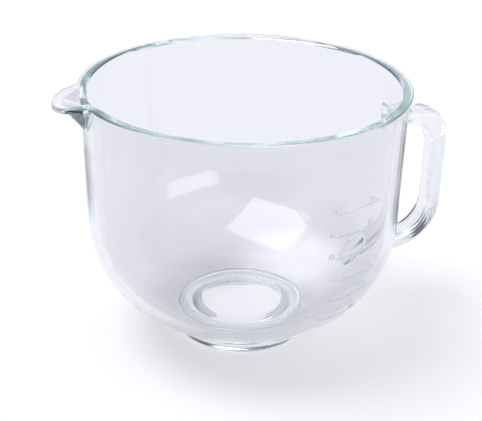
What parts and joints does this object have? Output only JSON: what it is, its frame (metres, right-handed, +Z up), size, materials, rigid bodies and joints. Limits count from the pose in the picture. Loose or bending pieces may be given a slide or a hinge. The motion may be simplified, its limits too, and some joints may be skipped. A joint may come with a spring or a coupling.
{
  "type": "stand mixer bowl",
  "caption": "Clear pressed-glass mixing bowl for a stand mixer, with a moulded side handle, a rolled-out pouring spout and a ring foot that stands in the mixer's bowl plate.",
  "frame": {"origin": "on the bowl's upright axis, in the plane it stands on, at the centre of the ring foot", "axes": "+Z up out of the mouth, +X through the middle of the handle, -X through the tip of the spout"},
  "size_m": [0.2775, 0.22, 0.182],
  "materials": {
    "glass": "clear, polished"
  },
  "bodies": {
    "root": {"bowl": "glass"}
  },
  "joints": []
}
